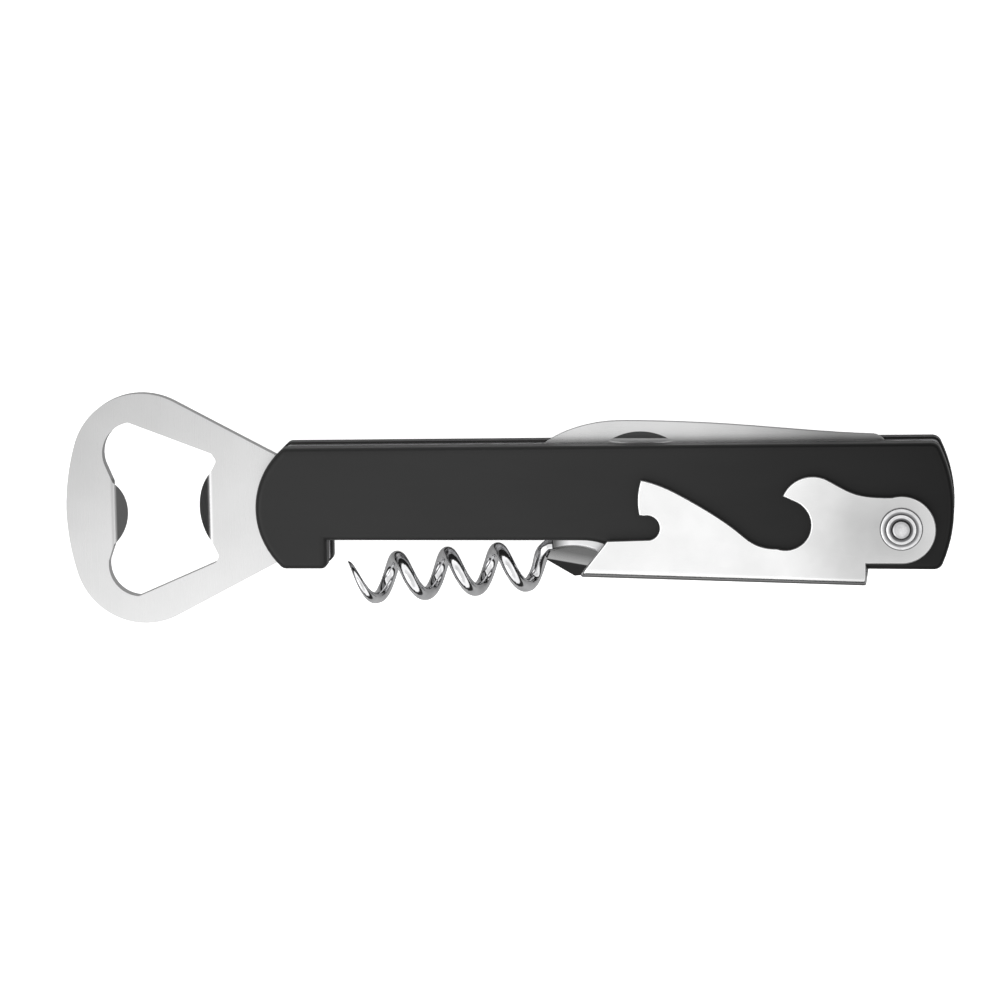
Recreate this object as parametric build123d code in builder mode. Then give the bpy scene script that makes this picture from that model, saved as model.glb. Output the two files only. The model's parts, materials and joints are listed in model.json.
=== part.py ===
"""Waiters corkscrew, closed: opener head, two-scale handle, knife, worm and two-notch lever.

Frame: +X from the opener head to the lever rivet, +Y towards the knife's side, +Z from the rear scale to
the front scale. The origin is at the middle of the bottom of the whole object. Millimetres.
"""
import os
from math import cos, pi, radians, sin

from build123d import *

os.makedirs("parts", exist_ok=True)

# ---- stack of plates along Z, from the middle plane outwards
GAP = 2.4  # free space between the liners, filled by the opener plate
LINER = 1.0
SCALE = 3.5
LEVER_SIDE_CLEARANCE = 0.3
LEVER_SHEET = 1.2
WASHER = 0.5
RUNNING_GAP = 0.05  # between a turning plate and what it turns against
HEAD = 0.85  # height of the lever pin's formed head above its washer

HALF_GAP = GAP / 2
LINER_OUT = HALF_GAP + LINER
SCALE_OUT = LINER_OUT + SCALE
LEVER_IN = SCALE_OUT + LEVER_SIDE_CLEARANCE
LEVER_OUT = LEVER_IN + LEVER_SHEET
WASHER_IN = LEVER_OUT + RUNNING_GAP
WASHER_OUT = WASHER_IN + WASHER
Z_MID = WASHER_OUT + HEAD  # the whole object stands on Z = 0

# ---- handle outline
HANDLE_LEFT, HANDLE_RIGHT = -40.25, 71.8
TOP_LEFT = (-35.6, 10.4)
TOP_RIGHT = (69.2, 11.2)
BOTTOM_RIGHT = (69.6, -9.2)
BOTTOM_LEFT = (-35.9, -9.2)
HOOK_X = -28.75  # right-hand wall of the hook at the end of the worm's recess
RECESS_Y = -4.55  # ceiling of the worm's recess
BELLY_Y = -8.8  # underside of the handle inside the lever
ARCH_X = 12.3  # where the recess ceiling starts to arch down
CHEEK = (16.1, -5.2)  # foot of that arch
RIGHT_CORNER_R, LEFT_CORNER_R, HOOK_CORNER_R = 1.5, 1.2, 1.0
EDGE_RADIUS = 1.1
LINER_INSET = 0.35
EAR_ROUNDING = 0.5
EAR_RIGHT = 23.0  # the ear's outline closes inside the liner's own
EAR_TOP_Y = -1.3
EAR_FOOT_Y = BELLY_Y + LINER_INSET

# ---- hinges
LEVER_AXIS = (63.5, -2.3)
KNIFE_AXIS = (63.4, 6.3)
WORM_AXIS = (18.7, -6.7)
PIN_CLEARANCE = 0.05
LEVER_PIN_R = 2.0
KNIFE_PIN_R = 1.6
WORM_PIN_R = 1.2
RIVET_R = 1.5

# ---- fixed pins inside the handle
OPENER_RIVETS = [(-33.1, 0.7), (-24.1, 0.7)]
SPRING_PINS = [(-8.1, 0.1), (30.9, -0.2)]
PEGS = [(-34.1, 6.2), (-17.1, 3.3), (2.9, -0.8), (46.9, -4.8)]  # on the scales, fitting the liners
PEG_R = 1.1
PEG_HEIGHT = 0.8

# ---- worm
WIRE_R = 1.1
COIL_R = 3.1  # from the worm's axis to the middle of the wire
PITCH = 8.2
TIP_X = -25.7
WORM_TILT = 4.9  # degrees, tip lower than the hinge
WORM_DROP = 1.45  # the worm's axis passes this far below its hinge
TURNS = 4.0  # from the point to where the wire straightens, at the top of the coil
FLATTENING = 3.5  # the turn where the coil starts to flatten into the middle plane
TAPER_TURNS = 0.6  # length of the ground point
POINT_R = 0.12
COIL_START = 1.0  # the turn where the coil is at full thickness
LOFTED_TURNS = ((0, 0.5), (0.5, COIL_START), (FLATTENING, TURNS))
LOFT_STEPS = 4

# ---- lever
LEVER_HEEL_X = 57.9
NOSE_TIP_X = 11.9
WEB_NOSE_Y, WEB_HEEL_Y = -10.3, -11.65  # underside of the web at its two ends
INSIDE_RIGHT, INSIDE_TOP = 73, 9  # the hollow between the lever's sides runs out past them
BEND_RADIUS = 1.6
SHEET_ROUNDING = 0.35
SHANK_SLOT_END = 23.2  # the web is slotted from the nose to here, so that the worm can swing out
SHANK_SLOT_WIDTH = 8.6
SHANK_SLOT_LENGTH = 34.4  # runs out past the nose
SHANK_SLOT_TOP, SHANK_SLOT_BOTTOM = -8.3, -15.3


def middle(offset=0.0):
    """Plane parallel to the handle's faces, at a distance from its middle plane."""
    return Plane.XY.offset(Z_MID + offset)


def handle_profile():
    """Side outline that both scales share: full ends, worm recess underneath."""
    with BuildSketch() as profile:
        with BuildLine():
            Line(TOP_LEFT, TOP_RIGHT)
            ThreePointArc(TOP_RIGHT, (HANDLE_RIGHT, 1.7), BOTTOM_RIGHT)
            Polyline(BOTTOM_RIGHT, (CHEEK[0] - 0.2, BELLY_Y), CHEEK)
            ThreePointArc(CHEEK, (14.5, -4.75), (ARCH_X, RECESS_Y))
            Polyline((ARCH_X, RECESS_Y), (HOOK_X, RECESS_Y), (HOOK_X, BOTTOM_LEFT[1]), BOTTOM_LEFT)
            ThreePointArc(BOTTOM_LEFT, (HANDLE_LEFT, 0.7), TOP_LEFT)
        make_face()
        fillet(profile.vertices().filter_by(lambda v: v.X > 60), radius=RIGHT_CORNER_R)
        fillet(profile.vertices().filter_by(lambda v: v.X < -35), radius=LEFT_CORNER_R)
        hook_foot = profile.vertices().filter_by(lambda v: v.Y < -9 and abs(v.X - HOOK_X) < 0.1)
        fillet(hook_foot, radius=HOOK_CORNER_R)
    return profile.sketch


def liner_profile():
    """The handle's outline set in a little, with an ear that carries the worm's pin."""
    with BuildSketch() as profile:
        add(handle_profile())
        offset(amount=-LINER_INSET, kind=Kind.INTERSECTION, mode=Mode.REPLACE)
        with BuildLine():
            ThreePointArc((7.4, -6.6), (11.2, -6.0), (14.9, -7.0))
            Polyline((14.9, -7.0), (15.3, EAR_FOOT_Y), (EAR_RIGHT, EAR_FOOT_Y), (EAR_RIGHT, EAR_TOP_Y))
            Polyline((EAR_RIGHT, EAR_TOP_Y), (7.1, EAR_TOP_Y), (7.4, -6.6))
        make_face()
    return profile.sketch


# ---- scales
with BuildPart() as front_scale:
    with BuildSketch(middle(LINER_OUT)):
        add(handle_profile())
    extrude(amount=SCALE)
    fillet(front_scale.faces().sort_by(Axis.Z)[-1].edges(), radius=EDGE_RADIUS)
    with BuildSketch(middle(LINER_OUT)):
        with Locations(*PEGS):
            Circle(PEG_R)
    extrude(amount=-PEG_HEIGHT)
    with Locations(middle(SCALE_OUT)):
        with Locations(LEVER_AXIS):
            Hole(LEVER_PIN_R + PIN_CLEARANCE)
front_scale.part.label = "front_scale"
export_step(front_scale.part, "parts/front_scale.step")

with BuildPart() as rear_scale:
    mirror(front_scale.part, about=Plane.XY.offset(Z_MID))
rear_scale.part.label = "rear_scale"
export_step(rear_scale.part, "parts/rear_scale.step")

# ---- liners
with BuildPart() as front_liner:
    with BuildSketch(middle(HALF_GAP)):
        add(liner_profile())
        with Locations(*OPENER_RIVETS, *SPRING_PINS):
            Circle(RIVET_R, mode=Mode.SUBTRACT)
        with Locations(*PEGS):
            Circle(PEG_R + PIN_CLEARANCE, mode=Mode.SUBTRACT)
        with Locations(LEVER_AXIS):
            Circle(LEVER_PIN_R + PIN_CLEARANCE, mode=Mode.SUBTRACT)
        with Locations(KNIFE_AXIS):
            Circle(KNIFE_PIN_R, mode=Mode.SUBTRACT)
        with Locations(WORM_AXIS):
            Circle(WORM_PIN_R, mode=Mode.SUBTRACT)
    extrude(amount=LINER)
    rim = front_liner.faces().sort_by(Axis.Z)[-1].outer_wire().edges()
    fillet(rim.filter_by(lambda e: 7 < e.center().X < 13 and e.center().Y < -4), radius=EAR_ROUNDING)
front_liner.part.label = "front_liner"
export_step(front_liner.part, "parts/front_liner.step")

with BuildPart() as rear_liner:
    mirror(front_liner.part, about=Plane.XY.offset(Z_MID))
rear_liner.part.label = "rear_liner"
export_step(rear_liner.part, "parts/rear_liner.step")

# ---- opener head
HEAD_LEFT = -71.8
HEAD_CORNER = (-64.0, 22.9)  # where the left arc would meet the sloping side, before rounding
HEAD_CORNER_R = 11.5
NECK = (-36.1, 8.1)  # where the plate's sloping side ends, inside the handle
TONGUE = (-31.1, 3.4)  # the plate narrows here to a tongue between the liners
TONGUE_END = -18.1
MOUTH_ROUNDING = 0.8
LIP_ANGLE = 38  # degrees that each lip is bent down from the plate
LIP_SHEET = 1.7
FOLD_ROUNDING = 1.0
PLATE_ROUNDING = 0.35
LEFT_LIP_X, LEFT_LIP_ENDS = -64.1, (-5.9, 4.3)
RIGHT_LIP_X, RIGHT_LIP_ENDS = -48.1, (-5.3, 5.8)
LIPS = ((LEFT_LIP_X, LEFT_LIP_ENDS, 1, 2.75), (RIGHT_LIP_X, RIGHT_LIP_ENDS, -1, 2.6))

with BuildPart() as opener_head:
    with BuildSketch(middle(-HALF_GAP)) as head_outline:
        with BuildLine():
            ThreePointArc((HEAD_LEFT, 0), (-70.0, 11.2), HEAD_CORNER)
            Polyline(HEAD_CORNER, NECK, (TONGUE[0], NECK[1]), TONGUE, (TONGUE_END, TONGUE[1]))
            Polyline((TONGUE_END, TONGUE[1]), (TONGUE_END, 0), (HEAD_LEFT, 0))
        make_face()
        mirror(about=Plane.XZ)
        fillet(head_outline.vertices().filter_by(lambda v: abs(v.Y) > 20), radius=HEAD_CORNER_R)
        with BuildLine():  # the mouth, its upper lobe a little wider than its lower one
            Polyline((RIGHT_LIP_X, RIGHT_LIP_ENDS[1]), (-47.0, 7.8), (-47.8, 9.0), (-61.3, 14.1))
            ThreePointArc((-61.3, 14.1), (-65.0, 11.5), (-65.4, 7.4))
            Line((-65.4, 7.4), (LEFT_LIP_X, LEFT_LIP_ENDS[1]))
            Polyline((LEFT_LIP_X, LEFT_LIP_ENDS[1]), (LEFT_LIP_X, LEFT_LIP_ENDS[0]), (-65.0, -8.5))
            ThreePointArc((-65.0, -8.5), (-64.3, -11.9), (-60.2, -14.4))
            Polyline((-60.2, -14.4), (-47.4, -8.8), (-46.9, -7.7), (RIGHT_LIP_X, RIGHT_LIP_ENDS[0]))
            Line((RIGHT_LIP_X, RIGHT_LIP_ENDS[0]), (RIGHT_LIP_X, RIGHT_LIP_ENDS[1]))
        make_face(mode=Mode.SUBTRACT)
        mouth = head_outline.vertices().filter_by(lambda v: -66 < v.X < -45 and 7 < abs(v.Y) < 15)
        fillet(mouth, radius=MOUTH_ROUNDING)
        with Locations(*OPENER_RIVETS):
            Circle(RIVET_R, mode=Mode.SUBTRACT)
    extrude(amount=GAP)
    for fold_x, (low, high), side, length in LIPS:
        bend = radians(LIP_ANGLE)
        lip_plane = Plane(
            origin=(fold_x, (low + high) / 2, Z_MID + HALF_GAP),
            x_dir=(side * cos(bend), 0, -sin(bend)),
            z_dir=(side * sin(bend), 0, cos(bend)),
        )
        half_width = (high - low) / 2
        with BuildSketch(lip_plane):
            with BuildLine():
                ThreePointArc((0, half_width), (length, 0), (0, -half_width))
                Line((0, -half_width), (0, half_width))
            make_face()
        extrude(amount=-LIP_SHEET)
    top_lines = opener_head.edges().filter_by(Axis.Y).group_by(Axis.Z)[-1]
    fillet(top_lines.filter_by(lambda e: e.center().X <= RIGHT_LIP_X + 0.1), radius=FOLD_ROUNDING)
    plate_faces = opener_head.faces().filter_by(Axis.Z).group_by(SortBy.AREA)[-1]
    for face in plate_faces:
        fillet(face.outer_wire().edges().filter_by(lambda e: e.center().X < -42), radius=PLATE_ROUNDING)
opener_head.part.label = "opener_head"
export_step(opener_head.part, "parts/opener_head.step")

# ---- fixed pins between the liners
with BuildPart() as opener_rivets:
    with BuildSketch(middle(-LINER_OUT)):
        with Locations(*OPENER_RIVETS):
            Circle(RIVET_R)
    extrude(amount=2 * LINER_OUT)
opener_rivets.part.label = "opener_rivets"
export_step(opener_rivets.part, "parts/opener_rivets.step")

with BuildPart() as back_spring_pins:
    with BuildSketch(middle(-LINER_OUT)):
        with Locations(*SPRING_PINS):
            Circle(RIVET_R)
    extrude(amount=2 * LINER_OUT)
back_spring_pins.part.label = "back_spring_pins"
export_step(back_spring_pins.part, "parts/back_spring_pins.step")

# ---- knife
BLADE = 1.4  # thickness along the spine
BLADE_TIP = (3.5, 7.6)
BLADE_HEEL = (59.0, 11.95)
EDGE_Y = 4.4
GRIND_Y = 9.9  # the blade tapers from this line down to its edge
EDGE_THICKNESS = 0.15
TANG_R = 4.3
RICASSO_X = 51.9  # where the cutting edge ends and the tang begins
TANG_NECK_Y = 2.9
NICK_DEPTH = 0.5


def on_tang(degrees):
    """Point on the round end of the knife's tang."""
    return (KNIFE_AXIS[0] + TANG_R * cos(radians(degrees)), KNIFE_AXIS[1] + TANG_R * sin(radians(degrees)))


with BuildPart() as knife_blade:
    with BuildSketch(middle(-BLADE / 2)):
        with BuildLine():
            Spline(
                BLADE_TIP, (7.5, 11.4), (10.6, 12.8), (15.5, 13.95), (21.7, 14.15), (36.1, 13.55),
                BLADE_HEEL,
            )
            ThreePointArc(BLADE_HEEL, (60.4, 11.3), on_tang(120))
            ThreePointArc(on_tang(120), on_tang(15), on_tang(-90))
            Polyline(on_tang(-90), (54.9, 2.6), (RICASSO_X, TANG_NECK_Y), (RICASSO_X - 1.2, EDGE_Y))
            Line((RICASSO_X - 1.2, EDGE_Y), (13.9, EDGE_Y))
            ThreePointArc((13.9, EDGE_Y), (7.9, 5.3), BLADE_TIP)
        make_face()
    extrude(amount=BLADE)
    with BuildSketch(Plane.YZ):  # the grind on both sides, a long wedge down to the edge
        for side in (-1, 1):
            with BuildLine():
                Polyline(
                    (GRIND_Y, Z_MID + side * BLADE / 2),
                    (EDGE_Y, Z_MID + side * EDGE_THICKNESS / 2),
                    (EDGE_Y - 1, Z_MID + side * EDGE_THICKNESS / 2),
                    (EDGE_Y - 1, Z_MID + side * BLADE),
                    (GRIND_Y, Z_MID + side * BLADE),
                    close=True,
                )
            make_face()
    extrude(amount=RICASSO_X - 3, mode=Mode.SUBTRACT)
    with BuildSketch(middle(BLADE / 2)):  # nail nick
        with BuildLine():
            ThreePointArc((16.5, 10.9), (21.7, 12.5), (26.9, 10.9))
            ThreePointArc((26.9, 10.9), (21.7, 10.4), (16.5, 10.9))
        make_face()
    extrude(amount=-NICK_DEPTH, mode=Mode.SUBTRACT)
    with Locations(middle(BLADE / 2)):
        with Locations(KNIFE_AXIS):
            Hole(KNIFE_PIN_R + PIN_CLEARANCE)
knife_blade.part.label = "knife_blade"
export_step(knife_blade.part, "parts/knife_blade.step")

with BuildPart() as knife_pivot_pin:
    with BuildSketch(middle(-LINER_OUT)):
        with Locations(KNIFE_AXIS):
            Circle(KNIFE_PIN_R)
    extrude(amount=2 * LINER_OUT)
knife_pivot_pin.part.label = "knife_pivot_pin"
export_step(knife_pivot_pin.part, "parts/knife_pivot_pin.step")

KNIFE_WASHER = HALF_GAP - BLADE / 2 - RUNNING_GAP
KNIFE_WASHER_R = 3.4

with BuildPart() as knife_washer_front:
    with BuildSketch(middle(HALF_GAP)):
        with Locations(KNIFE_AXIS):
            Circle(KNIFE_WASHER_R)
            Circle(KNIFE_PIN_R, mode=Mode.SUBTRACT)
    extrude(amount=-KNIFE_WASHER)
knife_washer_front.part.label = "knife_washer_front"
export_step(knife_washer_front.part, "parts/knife_washer_front.step")

with BuildPart() as knife_washer_rear:
    mirror(knife_washer_front.part, about=Plane.XY.offset(Z_MID))
knife_washer_rear.part.label = "knife_washer_rear"
export_step(knife_washer_rear.part, "parts/knife_washer_rear.step")

# ---- back spring: a bar between the liners whose thin right-hand end bears on the knife's tang
SPRING_LEFT, SPRING_RIGHT = -12.1, 57.9
SPRING_SIDE_GAP = 0.05
SPRING_ROUNDING = 0.5

with BuildPart() as back_spring:
    with BuildSketch(middle(-HALF_GAP + SPRING_SIDE_GAP)) as spring_face:
        with BuildLine():
            Polyline(
                (SPRING_LEFT, 2.3), (36.9, 1.9), (SPRING_RIGHT, 1.6), (SPRING_RIGHT, 0.3),
                (38.9, -1.7), (34.9, -2.7), (SPRING_LEFT, -2.5), close=True,
            )
        make_face()
        fillet(spring_face.vertices(), radius=SPRING_ROUNDING)
        with Locations(*SPRING_PINS):
            Circle(RIVET_R, mode=Mode.SUBTRACT)
    extrude(amount=GAP - 2 * SPRING_SIDE_GAP)
back_spring.part.label = "back_spring"
export_step(back_spring.part, "parts/back_spring.step")

# ---- worm: a right-handed coil of round wire, ground to a point, drawn in to its axis at the root
HUB = 2.3  # thickness of the flattened root
HUB_EYE_R = 2.9
SHANK_END = 10.6  # from beside the hinge to the end of the wire, inside the root

worm_frame = Plane(
    origin=(WORM_AXIS[0], WORM_AXIS[1] - WORM_DROP, Z_MID),
    x_dir=(-cos(radians(WORM_TILT)), -sin(radians(WORM_TILT)), 0),
    z_dir=(0, 0, 1),
)  # its X runs along the worm's axis from beside the hinge towards the point
WORM_LENGTH = (WORM_AXIS[0] - TIP_X) / cos(radians(WORM_TILT))


def in_worm_frame(along, down, forward):
    """Point given by its distances along the worm's axis from the hinge, below it and in front of it."""
    return worm_frame.from_local_coords(Vector(along, down, forward))


def wire_middle(turn):
    """Centre of the wire, a number of turns back from the point."""
    flattened = min(max((turn - FLATTENING) / (TURNS - FLATTENING), 0), 1)
    depth = COIL_R * cos(flattened * pi / 2) ** 2
    angle = 2 * pi * turn
    return in_worm_frame(WORM_LENGTH - PITCH * turn, -COIL_R * cos(angle), depth * sin(angle))


def wire_radius(turn):
    """Radius of the wire: full except over the ground point."""
    return POINT_R + (WIRE_R - POINT_R) * min(turn / TAPER_TURNS, 1) ** 0.8


def wire_plane(turn):
    """Plane across the wire, with its X pointing out from the worm's axis."""
    step = 0.001
    along = (wire_middle(turn + step) - wire_middle(turn - step)).normalized()
    angle = 2 * pi * turn
    outwards = in_worm_frame(0, -cos(angle), sin(angle)) - in_worm_frame(0, 0, 0)
    return Plane(wire_middle(turn), x_dir=outwards - along * outwards.dot(along), z_dir=along)


coil_plane = Plane(
    origin=in_worm_frame(WORM_LENGTH - PITCH * COIL_START, 0, 0),
    x_dir=in_worm_frame(0, -1, 0) - in_worm_frame(0, 0, 0),
    z_dir=in_worm_frame(-1, 0, 0) - in_worm_frame(0, 0, 0),
)

with BuildPart() as worm:
    with BuildLine():
        coil = Helix(PITCH, PITCH * (FLATTENING - COIL_START), COIL_R, mode=Mode.PRIVATE)
        add(coil_plane.location * coil)
    with BuildSketch(wire_plane(COIL_START)):
        Circle(WIRE_R)
    sweep(is_frenet=True)
    for first, last in LOFTED_TURNS:
        for number in range(LOFT_STEPS + 1):
            turn = first + (last - first) * number / LOFT_STEPS
            with BuildSketch(wire_plane(turn)):
                Circle(wire_radius(turn))
        loft()
    with BuildSketch(wire_plane(TURNS)):
        Circle(WIRE_R)
    extrude(amount=WORM_LENGTH - PITCH * TURNS - SHANK_END)
worm.part.label = "worm"
export_step(worm.part, "parts/worm.step")

RIDGE = ((7.2, -8.2), (12.9, -9.2))  # the crest between the two facets on each side of the root
LOWER_EDGE, LOWER_HEIGHT = (11.0, -11.2), 0.0
UPPER_EDGE, UPPER_HEIGHT = (9.4, -5.5), 0.45


def facet(side, edge, height):
    """Plane through the root's crest and a point nearer to the middle plane, facing outwards."""
    start, end = (Vector(*point, Z_MID + side * HUB / 2) for point in RIDGE)
    normal = (end - start).cross(Vector(*edge, Z_MID + side * height) - start)
    return Plane(start, x_dir=end - start, z_dir=normal if normal.Z * side > 0 else -normal)


with BuildPart() as worm_hub:
    with BuildSketch(middle(-HUB / 2)):
        with BuildLine():
            Polyline(
                (6.4, -8.3), (10.8, -11.1), (14.4, -10.7), (18.9, -9.6), (18.9, -3.8), (9.2, -4.6),
                (7.6, -5.6), close=True,
            )
        make_face()
    extrude(amount=HUB)
    for side in (-1, 1):
        split(bisect_by=facet(side, LOWER_EDGE, LOWER_HEIGHT), keep=Keep.BOTTOM)
        split(bisect_by=facet(side, UPPER_EDGE, UPPER_HEIGHT), keep=Keep.BOTTOM)
    with BuildSketch(middle(-HUB / 2)):
        with Locations(WORM_AXIS):
            Circle(HUB_EYE_R)
    extrude(amount=HUB)
    with Locations(middle(HUB / 2)):
        with Locations(WORM_AXIS):
            Hole(WORM_PIN_R + PIN_CLEARANCE)
    add(worm.part, mode=Mode.SUBTRACT)
worm_hub.part.label = "worm_hub"
export_step(worm_hub.part, "parts/worm_hub.step")

with BuildPart() as worm_pivot_pin:
    with BuildSketch(middle(-LINER_OUT)):
        with Locations(WORM_AXIS):
            Circle(WORM_PIN_R)
    extrude(amount=2 * LINER_OUT)
worm_pivot_pin.part.label = "worm_pivot_pin"
export_step(worm_pivot_pin.part, "parts/worm_pivot_pin.step")

# ---- lever: one sheet bent into a channel, with two notches cut through both sides
with BuildPart() as lever:
    with BuildSketch(middle(-LEVER_OUT)):
        with BuildLine():
            Polyline((NOSE_TIP_X, WEB_NOSE_Y), (16.6, -4.3), (23.4, -4.1))
            ThreePointArc((23.4, -4.1), (25, -2.1), (22.6, -0.3))
            Line((22.6, -0.3), (21.8, -0.2))
            ThreePointArc((21.8, -0.2), (21.56, 2.63), (22.1, 5.55))
            Spline((22.1, 5.55), (29.6, 2.45), (37.65, -2.85), (43.8, -5.5), tangents=((1, -0.2), (1, 0)))
            ThreePointArc((43.8, -5.5), (49.1, -1.5), (47, 1.83))
            Line((47, 1.83), (44.65, 2.9))
            ThreePointArc((44.65, 2.9), (47.2, 5.6), (51.5, 5.7))
            Spline((51.5, 5.7), (55.9, 3.45), (62, 2.75), tangents=((1, -0.5), (1, 0)))
            ThreePointArc((62, 2.75), (69.0, -2.4), (63.6, -7.95))
            Polyline((63.6, -7.95), (LEVER_HEEL_X, -7.95), (LEVER_HEEL_X, WEB_HEEL_Y))
            Line((LEVER_HEEL_X, WEB_HEEL_Y), (NOSE_TIP_X, WEB_NOSE_Y))
        make_face()
    extrude(amount=2 * LEVER_OUT)
    with BuildSketch(middle(-LEVER_IN)):
        with BuildLine():
            Polyline(
                (NOSE_TIP_X - 1, WEB_NOSE_Y + LEVER_SHEET), (LEVER_HEEL_X, WEB_HEEL_Y + LEVER_SHEET),
                (INSIDE_RIGHT, WEB_HEEL_Y + LEVER_SHEET), (INSIDE_RIGHT, INSIDE_TOP),
                (NOSE_TIP_X - 1, INSIDE_TOP), close=True,
            )
        make_face()
    extrude(amount=2 * LEVER_IN, mode=Mode.SUBTRACT)
    with BuildSketch(Plane.XZ.offset(-SHANK_SLOT_TOP)):
        with Locations((SHANK_SLOT_END, Z_MID)):
            SlotOverall(SHANK_SLOT_LENGTH, SHANK_SLOT_WIDTH, align=(Align.MAX, Align.CENTER))
    extrude(amount=SHANK_SLOT_TOP - SHANK_SLOT_BOTTOM, mode=Mode.SUBTRACT)
    outer_edges = lever.edges().filter_by(lambda e: abs(abs(e.center().Z - Z_MID) - LEVER_OUT) < 0.01)
    bends = outer_edges.filter_by(lambda e: e.center().Y < WEB_NOSE_Y and e.length > 20)
    fillet(bends, radius=BEND_RADIUS)
    outer_edges = lever.edges().filter_by(lambda e: abs(abs(e.center().Z - Z_MID) - LEVER_OUT) < 0.01)
    fillet(outer_edges.filter_by(lambda e: e.length < 20 or e.center().Y > -7.3), radius=SHEET_ROUNDING)
    with Locations(middle(LEVER_OUT)):
        with Locations(LEVER_AXIS):
            Hole(LEVER_PIN_R + PIN_CLEARANCE)
lever.part.label = "lever"
export_step(lever.part, "parts/lever.step")

# ---- lever pin: a shaft through everything, its ends formed into a ring with a dome inside
RING_R, RING_HEIGHT, RING_ROUNDING = 2.55, 0.5, 0.42
GROOVE_R, GROOVE_DEPTH = 1.9, 0.35
DOME_R, DOME_ROUNDING = 1.6, 0.55
LEVER_WASHER_R, WASHER_ROUNDING = 3.45, 0.42
BUSH_R = 3.0

with BuildPart() as lever_pin:
    with BuildSketch(middle()):
        with Locations(LEVER_AXIS):
            Circle(LEVER_PIN_R)
    extrude(amount=WASHER_OUT)
    with BuildSketch(middle(WASHER_OUT)):
        with Locations(LEVER_AXIS):
            Circle(RING_R)
    extrude(amount=RING_HEIGHT)
    fillet(lever_pin.faces().sort_by(Axis.Z)[-1].edges(), radius=RING_ROUNDING)
    with BuildSketch(middle(WASHER_OUT + RING_HEIGHT)):
        with Locations(LEVER_AXIS):
            Circle(GROOVE_R)
    extrude(amount=-GROOVE_DEPTH, mode=Mode.SUBTRACT)
    with BuildSketch(middle(WASHER_OUT)):
        with Locations(LEVER_AXIS):
            Circle(DOME_R)
    extrude(amount=HEAD)
    fillet(lever_pin.faces().sort_by(Axis.Z)[-1].edges(), radius=DOME_ROUNDING)
    mirror(about=Plane.XY.offset(Z_MID))
lever_pin.part.label = "lever_pin"
export_step(lever_pin.part, "parts/lever_pin.step")

with BuildPart() as lever_washer_front:
    with BuildSketch(middle(WASHER_IN)):
        with Locations(LEVER_AXIS):
            Circle(LEVER_WASHER_R)
            Circle(LEVER_PIN_R, mode=Mode.SUBTRACT)
    extrude(amount=WASHER)
    rims = lever_washer_front.faces().sort_by(Axis.Z)[-1].edges()
    fillet(rims.sort_by(SortBy.LENGTH)[-1], radius=WASHER_ROUNDING)
lever_washer_front.part.label = "lever_washer_front"
export_step(lever_washer_front.part, "parts/lever_washer_front.step")

with BuildPart() as lever_washer_rear:
    mirror(lever_washer_front.part, about=Plane.XY.offset(Z_MID))
lever_washer_rear.part.label = "lever_washer_rear"
export_step(lever_washer_rear.part, "parts/lever_washer_rear.step")

with BuildPart() as lever_bush:
    with BuildSketch(middle(-HALF_GAP)):
        with Locations(LEVER_AXIS):
            Circle(BUSH_R)
            Circle(LEVER_PIN_R, mode=Mode.SUBTRACT)
    extrude(amount=GAP)
lever_bush.part.label = "lever_bush"
export_step(lever_bush.part, "parts/lever_bush.step")
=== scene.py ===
"""Looks of the waiters corkscrew: materials, light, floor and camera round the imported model. Metres."""

import json
from math import radians, sin

import bpy
from mathutils import Matrix, Vector


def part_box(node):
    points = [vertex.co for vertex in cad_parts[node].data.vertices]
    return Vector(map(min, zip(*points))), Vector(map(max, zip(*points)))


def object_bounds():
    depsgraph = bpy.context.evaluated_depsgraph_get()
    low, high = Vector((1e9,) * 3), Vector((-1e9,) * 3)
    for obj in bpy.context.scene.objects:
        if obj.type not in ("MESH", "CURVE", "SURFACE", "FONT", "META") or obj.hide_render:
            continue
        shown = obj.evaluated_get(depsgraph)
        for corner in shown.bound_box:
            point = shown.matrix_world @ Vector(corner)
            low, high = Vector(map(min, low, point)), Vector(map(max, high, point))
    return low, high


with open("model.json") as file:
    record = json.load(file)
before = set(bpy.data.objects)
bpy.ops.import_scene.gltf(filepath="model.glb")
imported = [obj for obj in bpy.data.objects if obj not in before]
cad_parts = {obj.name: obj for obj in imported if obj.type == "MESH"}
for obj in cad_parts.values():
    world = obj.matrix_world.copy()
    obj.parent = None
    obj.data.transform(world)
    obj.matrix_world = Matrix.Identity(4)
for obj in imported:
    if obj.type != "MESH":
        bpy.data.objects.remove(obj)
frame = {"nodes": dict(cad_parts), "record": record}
cad_low, cad_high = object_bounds()
scene = bpy.context.scene

MM = 0.001
PER_MM = 1000.0


def grey(level):
    """A neutral colour."""
    return (level, level, level)


def middle_of(node):
    """Middle of a node's box."""
    low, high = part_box(node)
    return (low + high) / 2


# ---------------------------------------------------------------- places on the object
RIVET = middle_of("lever_pin")
KNIFE_PIVOT = middle_of("knife_pivot_pin")
BLADE_MIDDLE = middle_of("knife_blade")
BLADE_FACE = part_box("knife_blade")[1].z
OPENER_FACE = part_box("opener_head")[1].z
HANDLE_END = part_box("front_scale")[1].x

# Two straight edges that fall a little to the right. On each of them slope * X + Y is the level.
WEB_SLOPE, WEB_LEVEL = 0.0293, -9.95 * MM  # underside of the lever's web
CREST_SLOPE, CREST_LEVEL = 0.175, -6.94 * MM  # crest between the facets of the worm's root

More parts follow.
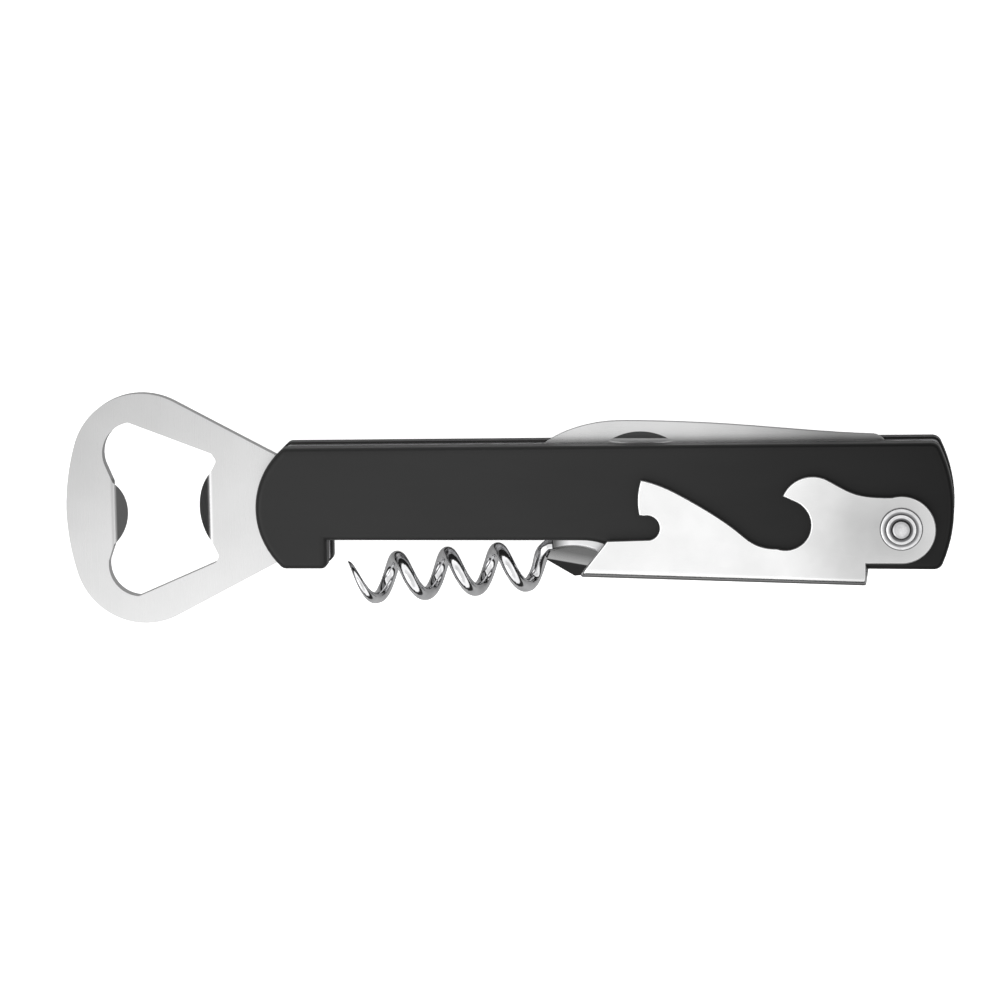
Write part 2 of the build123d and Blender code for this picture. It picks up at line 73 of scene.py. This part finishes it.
# Painted shade on the steel, boxes darkened where shade falls or dark surroundings are mirrored: low corner,
# high corner, softness of the faces, colour.
# Painted shade on the liners' ears, near the worm's root.
EAR_PAINTED_SHADE = ((5 * MM, -9 * MM, cad_low.z), (9 * MM, -3.6 * MM, cad_high.z), 1.2 * MM, grey(0.1))
# Painted shade in the hollow of the blade's nail nick.
NICK_PAINTED_SHADE = (
    (15 * MM, 11.3 * MM, cad_low.z), (28 * MM, 12.8 * MM, BLADE_FACE - 0.15 * MM), 0.08 * MM, grey(0.07),
)
# Painted shade on the opener's bent-down lips, standing for the dark underside of the plate mirrored in them.
LIPS_PAINTED_SHADE = (
    (-64.3 * MM, -6.3 * MM, cad_low.z), (-48 * MM, 6.3 * MM, OPENER_FACE - 0.35 * MM), 0.1 * MM, grey(0.16),
)

# Painted shade: direction in which a finish goes from light to dark, and where along it the change starts and
# ends.
OPENER_PAINTED_FADE = ((-0.9, 1, 0), 30 * MM, 76 * MM)
# Painted shade: the blade darkens towards its right.
BLADE_PAINTED_FADE = ((1, 0, 0), BLADE_MIDDLE.x - 5 * MM, BLADE_MIDDLE.x + 18 * MM)
# The share from the place is painted shade; the share from clouds is the metal's own uneven tone.
PAINTED_SHADE_SHARE, CLOUD_SHARE = 0.85, 0.15  # how much of such a finish's tone comes from the place and from clouds

# Painted shade and dark reflections on the rivet: radius in millimetres and brightness, from the middle of its
# dome to the rim of its washer.
RIVET_PAINTED_RINGS = (
    (0.0, 0.95), (0.85, 0.85), (1.3, 0.5), (1.5, 0.13), (1.8, 0.13), (2.0, 1.0), (2.35, 1.0),
    (2.5, 0.15), (2.75, 0.35), (2.95, 1.0), (3.2, 0.9), (3.45, 0.2), (4.0, 0.2),
)


# ---------------------------------------------------------------- node helpers
class Material:
    """A node material with a few short ways of adding nodes to it."""

    def __init__(self, name, color, metallic, roughness):
        self.data = bpy.data.materials.new(name)
        self.data.use_nodes = True
        self.nodes = self.data.node_tree.nodes
        self.links = self.data.node_tree.links
        self.shader = self.nodes["Principled BSDF"]
        self.shader.inputs["Base Color"].default_value = (*color, 1)
        self.shader.inputs["Metallic"].default_value = metallic
        self.shader.inputs["Roughness"].default_value = roughness
        self.normal = None
        self.place = self.add("ShaderNodeTexCoord").outputs["Object"]

    def add(self, kind, **settings):
        node = self.nodes.new(kind)
        for name, value in settings.items():
            setattr(node, name, value)
        return node

    def wire(self, value, socket):
        if isinstance(value, (int, float, tuple)):
            socket.default_value = value
        else:
            self.links.new(value, socket)

    def noise_at(self, vector, detail, roughness=0.5):
        texture = self.add("ShaderNodeTexNoise")
        self.wire(vector, texture.inputs["Vector"])
        texture.inputs["Scale"].default_value = 1.0
        texture.inputs["Detail"].default_value = detail
        texture.inputs["Roughness"].default_value = roughness
        return texture.outputs["Fac"]

    def noise(self, cycles, detail, roughness=0.5, turn=(0, 0, 0)):
        """Noise on the object, with so many cycles per millimetre in all directions or along X, Y and Z."""
        if not isinstance(cycles, tuple):
            cycles = (cycles,) * 3
        mapping = self.add("ShaderNodeMapping")
        self.wire(self.place, mapping.inputs["Vector"])
        mapping.inputs["Rotation"].default_value = turn
        mapping.inputs["Scale"].default_value = [PER_MM * count for count in cycles]
        return self.noise_at(mapping.outputs["Vector"], detail, roughness)

    def span(self, value, low, high, to_low, to_high):
        """Value mapped from low..high to to_low..to_high, clamped."""
        node = self.add("ShaderNodeMapRange")
        self.wire(value, node.inputs["Value"])
        for name, number in zip(("From Min", "From Max", "To Min", "To Max"), (low, high, to_low, to_high)):
            node.inputs[name].default_value = number
        return node.outputs["Result"]

    def spread(self, noise, to_low, to_high):
        """Noise, most of which lies between 0.3 and 0.7, mapped to to_low..to_high."""
        return self.span(noise, 0.3, 0.7, to_low, to_high)

    def maths(self, operation, first, second=0.0):
        node = self.add("ShaderNodeMath", operation=operation)
        self.wire(first, node.inputs[0])
        self.wire(second, node.inputs[1])
        return node.outputs[0]

    def blend(self, factor, first, second):
        """Colour between two colours, each fixed or from another node."""
        node = self.add("ShaderNodeMix", data_type="RGBA")
        self.wire(factor, node.inputs[0])
        for value, socket in ((first, node.inputs[6]), (second, node.inputs[7])):
            self.wire((*value, 1) if isinstance(value, tuple) else value, socket)
        return node.outputs[2]

    def along(self, axis):
        """Object coordinate along one axis, in metres."""
        node = self.add("ShaderNodeSeparateXYZ")
        self.wire(self.place, node.inputs[0])
        return node.outputs[axis]

    def inside(self, low, high, soft):
        """1 inside a box and 0 outside it, changing over a short distance at its faces."""
        result = 1.0
        for axis, start, end in zip("XYZ", low, high):
            place = self.along(axis)
            rise = self.span(place, start - soft, start + soft, 0, 1)
            fall = self.span(place, end - soft, end + soft, 1, 0)
            result = self.maths("MULTIPLY", result, self.maths("MULTIPLY", rise, fall))
        return result

    def distance(self, centre):
        """Distance from a line along Z."""
        shifted = self.add("ShaderNodeMapping")
        self.wire(self.place, shifted.inputs["Vector"])
        shifted.inputs["Location"].default_value = (-centre[0], -centre[1], 0)
        flat = self.add("ShaderNodeVectorMath", operation="MULTIPLY")
        self.wire(shifted.outputs["Vector"], flat.inputs[0])
        flat.inputs[1].default_value = (1, 1, 0)
        length = self.add("ShaderNodeVectorMath", operation="LENGTH")
        self.wire(flat.outputs[0], length.inputs[0])
        return length.outputs["Value"]

    def towards(self, direction):
        """How far the place lies in a direction, times the direction's length."""
        node = self.add("ShaderNodeVectorMath", operation="DOT_PRODUCT")
        self.wire(self.place, node.inputs[0])
        node.inputs[1].default_value = direction
        return node.outputs["Value"]

    def color(self, value):
        self.wire(value, self.shader.inputs["Base Color"])

    def rough(self, value):
        self.wire(value, self.shader.inputs["Roughness"])

    def bump(self, height, depth, strength=1.0):
        """Adds a bump of the given depth in metres to those already there."""
        node = self.add("ShaderNodeBump")
        node.inputs["Strength"].default_value = strength
        node.inputs["Distance"].default_value = depth
        self.wire(height, node.inputs["Height"])
        if self.normal is not None:
            self.wire(self.normal, node.inputs["Normal"])
        self.normal = node.outputs["Normal"]
        self.wire(self.normal, self.shader.inputs["Normal"])


def set_ramp(ramp, levels):
    """Gives a colour ramp a list of places and grey levels."""
    while len(ramp.elements) < len(levels):
        ramp.elements.new(0.5)
    for element, (place, level) in zip(ramp.elements, levels):
        element.position = place
        element.color = (*grey(level), 1)


# ---------------------------------------------------------------- materials
def brushed_steel(name, light, dark, along, painted_fade=None, patches=()):
    """Satin steel with fine lines along one axis and a slow cloudiness, and perhaps a painted shade fade and
    patches of painted shade.
    """
    made = Material(name, light, 1.0, 0.3)
    fine = tuple(0.06 if axis == along else 9 for axis in "XYZ")
    lines = made.noise(fine, detail=5, roughness=0.65)
    clouds = made.noise(0.09, detail=4)
    # Painted shade: the finish darkens along the fade's direction.
    if painted_fade:
        direction, start, end = painted_fade
        painted_shade_by_place = made.span(made.towards(direction), start, end, PAINTED_SHADE_SHARE, 0)
        tone = made.maths("ADD", painted_shade_by_place, made.spread(clouds, 0, CLOUD_SHARE))
    else:
        tone = made.spread(clouds, 0, 1)
    steel = made.blend(tone, dark, light)
    # Painted shade: each box darkens the steel inside it.
    for low, high, soft, shade in patches:
        steel = made.blend(made.inside(low, high, soft), steel, shade)
    made.color(steel)
    made.rough(made.spread(lines, 0.25, 0.36))
    made.bump(lines, 0.0012 * MM)
    return made.data


def faceted_root(name):
    """The worm's root: satin steel, with a painted highlight along its crest and painted shade on the facet
    below it.
    """
    made = Material(name, grey(0.3), 1.0, 0.22)
    lines = made.noise((0.3, 8, 8), detail=4)
    # Painted highlight along the crest, fading above it, and painted shade below the crest.
    over_crest = made.towards((CREST_SLOPE, 1, 0))
    height = made.span(over_crest, CREST_LEVEL, CREST_LEVEL + 1.6 * MM, 0, 1)
    crest_painted_highlight = made.blend(height, grey(0.42), grey(0.17))
    side = made.span(over_crest, CREST_LEVEL - 0.08 * MM, CREST_LEVEL + 0.08 * MM, 0, 1)
    made.color(made.blend(side, grey(0.03), crest_painted_highlight))
    made.rough(made.spread(lines, 0.18, 0.28))
    made.bump(lines, 0.0015 * MM)
    return made.data


def bright_plate(name, light, dark, roughness):
    """Plated sheet: nearly smooth, with faint tumbling marks and a few hairline scratches.

    Painted shade makes it darker round the rivet and darkest along its bends.
    """
    made = Material(name, light, 1.0, roughness)
    clouds = made.noise(0.14, detail=3)
    grain = made.noise(6, detail=4, roughness=0.6)
    scratches = made.span(made.noise((0.25, 14, 14), detail=2, turn=(0, 0, 0.5)), 0.66, 0.74, 0, 1)
    # Painted shade: darker round the rivet.
    from_rivet = made.distance((RIVET.x - 2.5 * MM, RIVET.y - 0.8 * MM))
    painted_shade_by_place = made.span(from_rivet, 2 * MM, 17 * MM, 0, PAINTED_SHADE_SHARE)
    tone = made.maths("ADD", painted_shade_by_place, made.span(clouds, 0.35, 0.65, 0, CLOUD_SHARE))
    # Painted shade and dark reflection: near black along the bend under the web.
    over_web = made.towards((WEB_SLOPE, 1, 0))
    low = made.span(over_web, WEB_LEVEL + 0.3 * MM, WEB_LEVEL + 0.75 * MM, 1, 0)
    off_middle = made.maths("ABSOLUTE", made.maths("SUBTRACT", made.along("Z"), RIVET.z))
    bend_painted_shade = made.maths("MULTIPLY", low, made.span(off_middle, 4.8 * MM, 5.8 * MM, 0, 1))
    made.color(made.blend(bend_painted_shade, made.blend(tone, dark, light), grey(0.1)))
    worn = made.spread(grain, roughness - 0.03, roughness + 0.04)
    made.rough(made.maths("ADD", worn, made.maths("MULTIPLY", scratches, 0.08)))
    made.bump(grain, 0.0006 * MM)
    made.bump(scratches, -0.0008 * MM)
    return made.data


def polished_wire(name):
    """Chromed wire: mirror-like with drawing marks and slight pooling of the plating."""
    made = Material(name, (0.72, 0.72, 0.73), 1.0, 0.07)
    pooling = made.noise(0.5, detail=2)
    pits = made.noise(5, detail=3, roughness=0.6)
    made.color(made.blend(made.span(pooling, 0.35, 0.65, 0, 1), (0.62, 0.62, 0.63), (0.78, 0.78, 0.79)))
    made.rough(made.span(pits, 0.35, 0.75, 0.045, 0.13))
    made.bump(pooling, 0.03 * MM, 0.5)
    made.bump(pits, 0.0012 * MM)
    return made.data


def turned(name, centre, color, roughness, painted_rings=()):
    """Turned metal: fine rings round a line along Z, and perhaps rings of painted shade and dark reflection by
    the distance from it.
    """
    made = Material(name, color, 1.0, roughness)
    radius = made.distance(centre)
    rings = made.noise_at(made.maths("MULTIPLY", radius, 7 * PER_MM), detail=3)
    grime = made.noise(0.9, detail=4)
    metal = made.blend(made.span(grime, 0.35, 0.7, 0, 1), tuple(0.78 * c for c in color), color)
    # Painted shade and dark reflections: rings darkened by the distance from the middle.
    if painted_rings:
        ramp = made.add("ShaderNodeValToRGB")
        widest = painted_rings[-1][0]
        set_ramp(ramp.color_ramp, [(mm / widest, level) for mm, level in painted_rings])
        made.wire(made.maths("MULTIPLY", radius, PER_MM / widest), ramp.inputs[0])
        metal = made.blend(ramp.outputs[0], (0.04, 0.04, 0.045), metal)
    made.color(metal)
    made.rough(made.spread(rings, roughness - 0.04, roughness + 0.08))
    made.bump(rings, 0.002 * MM)
    return made.data


def moulded_black(name):
    """Black moulded plastic: a fine spark-eroded grain, faint flow marks and smoother rubbed patches.

    Painted shade makes it blacker towards the rivet's end of the handle.
    """
    made = Material(name, (0.012, 0.012, 0.013), 0.0, 0.4)
    made.shader.inputs["IOR"].default_value = 1.45
    made.shader.inputs["Specular IOR Level"].default_value = 0.26
    grain = made.noise(7, detail=4, roughness=0.6)
    flow = made.noise((0.03, 0.12, 0.12), detail=3)
    rubbed = made.noise(0.18, detail=5, roughness=0.6)
    # Painted shade: blacker towards the rivet's end.
    painted_shade_by_place = made.span(made.along("X"), 0, HANDLE_END, PAINTED_SHADE_SHARE, 0)
    tone = made.maths("ADD", painted_shade_by_place, made.spread(flow, 0, CLOUD_SHARE))
    made.color(made.blend(tone, grey(0.0012), grey(0.023)))
    smoother = made.span(rubbed, 0.45, 0.75, 0, -0.07)
    made.rough(made.maths("ADD", made.spread(grain, 0.36, 0.44), smoother))
    made.bump(grain, 0.004 * MM)
    return made.data


finishes = {
    "black_plastic": moulded_black("moulded_black"),
    "liner_steel": brushed_steel("liner_steel", (0.88, 0.88, 0.89), (0.7, 0.7, 0.71), "X", patches=[EAR_PAINTED_SHADE]),
    "satin_steel": brushed_steel("opener_steel", grey(0.68), grey(0.44), "Y", OPENER_PAINTED_FADE, [LIPS_PAINTED_SHADE]),
    "blade_steel": brushed_steel("blade_steel", grey(0.7), grey(0.3), "X", BLADE_PAINTED_FADE, [NICK_PAINTED_SHADE]),
    "brass_washer": turned("brass_washer", KNIFE_PIVOT, (0.72, 0.52, 0.25), 0.3),
    "polished_steel": polished_wire("polished_steel"),
    "hub_steel": faceted_root("hub_steel"),
    "lever_steel": bright_plate("lever_steel", grey(0.93), grey(0.48), 0.2),
    "rivet_steel": turned("rivet_steel", RIVET, (0.86, 0.86, 0.87), 0.13, RIVET_PAINTED_RINGS),
}
for part in frame["record"]["subparts"]:
    slots = frame["nodes"][part["node"]].data.materials
    slots.clear()
    slots.append(finishes[part["material_slot"]])


# ---------------------------------------------------------------- floor, light, camera
def add_floor():
    """A plain pale floor that glows a little. Only its mirror image on the metal is darker."""
    reach = 3.0
    tone, glow = 0.93, 0.75
    mirrored_tone, mirrored_glow = 0.3, 0.2
    mesh = bpy.data.meshes.new("floor")
    corners = [(-reach, -reach, 0), (reach, -reach, 0), (reach, reach, 0), (-reach, reach, 0)]
    mesh.from_pydata(corners, [], [(0, 1, 2, 3)])
    floor = bpy.data.objects.new("floor", mesh)
    scene.collection.objects.link(floor)
    paper = Material("floor_paper", grey(tone), 0.0, 0.9)
    paper.shader.inputs["Specular IOR Level"].default_value = 0.1
    direct = paper.add("ShaderNodeLightPath").outputs["Is Camera Ray"]
    paper.color(paper.blend(direct, grey(mirrored_tone), grey(tone)))
    paper.shader.inputs["Emission Color"].default_value = (1, 1, 1, 1)
    paper.wire(paper.span(direct, 0, 1, mirrored_glow, glow), paper.shader.inputs["Emission Strength"])
    paper.bump(paper.noise(0.8, detail=3), 0.01 * MM)
    mesh.materials.append(paper.data)


def add_sky():
    """A studio surround: dark round the sides, brightest part of the way up, a little less so overhead."""
    world = bpy.data.worlds.new("studio")
    world.use_nodes = True
    tree = world.node_tree
    direction = tree.nodes.new("ShaderNodeTexCoord").outputs["Generated"]
    split = tree.nodes.new("ShaderNodeSeparateXYZ")
    tree.links.new(direction, split.inputs[0])
    ramp = tree.nodes.new("ShaderNodeValToRGB")
    # sine of the angle above the horizon, brightness
    bands = (
        (0.0, 0.5), (0.05, 0.15), (0.1, 0.03), (0.36, 0.03),
        (0.46, 1.35), (0.74, 1.35), (0.82, 1.0), (1.0, 1.0),
    )
    set_ramp(ramp.color_ramp, bands)
    tree.links.new(split.outputs["Z"], ramp.inputs[0])
    tree.links.new(ramp.outputs[0], tree.nodes["Background"].inputs["Color"])
    tree.nodes["Background"].inputs["Strength"].default_value = 1.0
    scene.world = world


def add_light(name, place, size, power):
    """A soft rectangular light that faces the middle of the object."""
    data = bpy.data.lights.new(name, "AREA")
    data.shape = "RECTANGLE"
    data.size, data.size_y = size
    data.energy = power
    light = bpy.data.objects.new(name, data)
    light.location = place
    light.rotation_mode = "QUATERNION"
    light.rotation_quaternion = Vector(place).to_track_quat("Z", "Y")
    scene.collection.objects.link(light)


def add_camera():
    """Almost straight above, leaning a little to the rivet's end and to the knife's side."""
    distance = 0.8
    view_width = 0.160  # what the picture takes in at the target
    lean_x, lean_y = radians(5.8), radians(9.0)
    target = Vector((-0.54 * MM, 2.15 * MM, 14.3 * MM))
    back = Vector((sin(lean_x), sin(lean_y), 1)).normalized()
    right = (Vector((1, 0, 0)) - back.x * back).normalized()
    up = back.cross(right)
    data = bpy.data.cameras.new("camera")
    data.sensor_width = 36
    data.lens = data.sensor_width * distance / view_width
    data.clip_start = 0.01
    camera = bpy.data.objects.new("camera", data)
    turn = Matrix((right, up, back)).transposed().to_4x4()
    camera.matrix_world = Matrix.Translation(target + back * distance) @ turn
    scene.collection.objects.link(camera)
    scene.camera = camera


add_floor()
add_sky()
add_light("key", (-0.6, -0.3, 0.9), (0.8, 0.8), 1.5)
add_camera()
scene.view_settings.view_transform = "Standard"
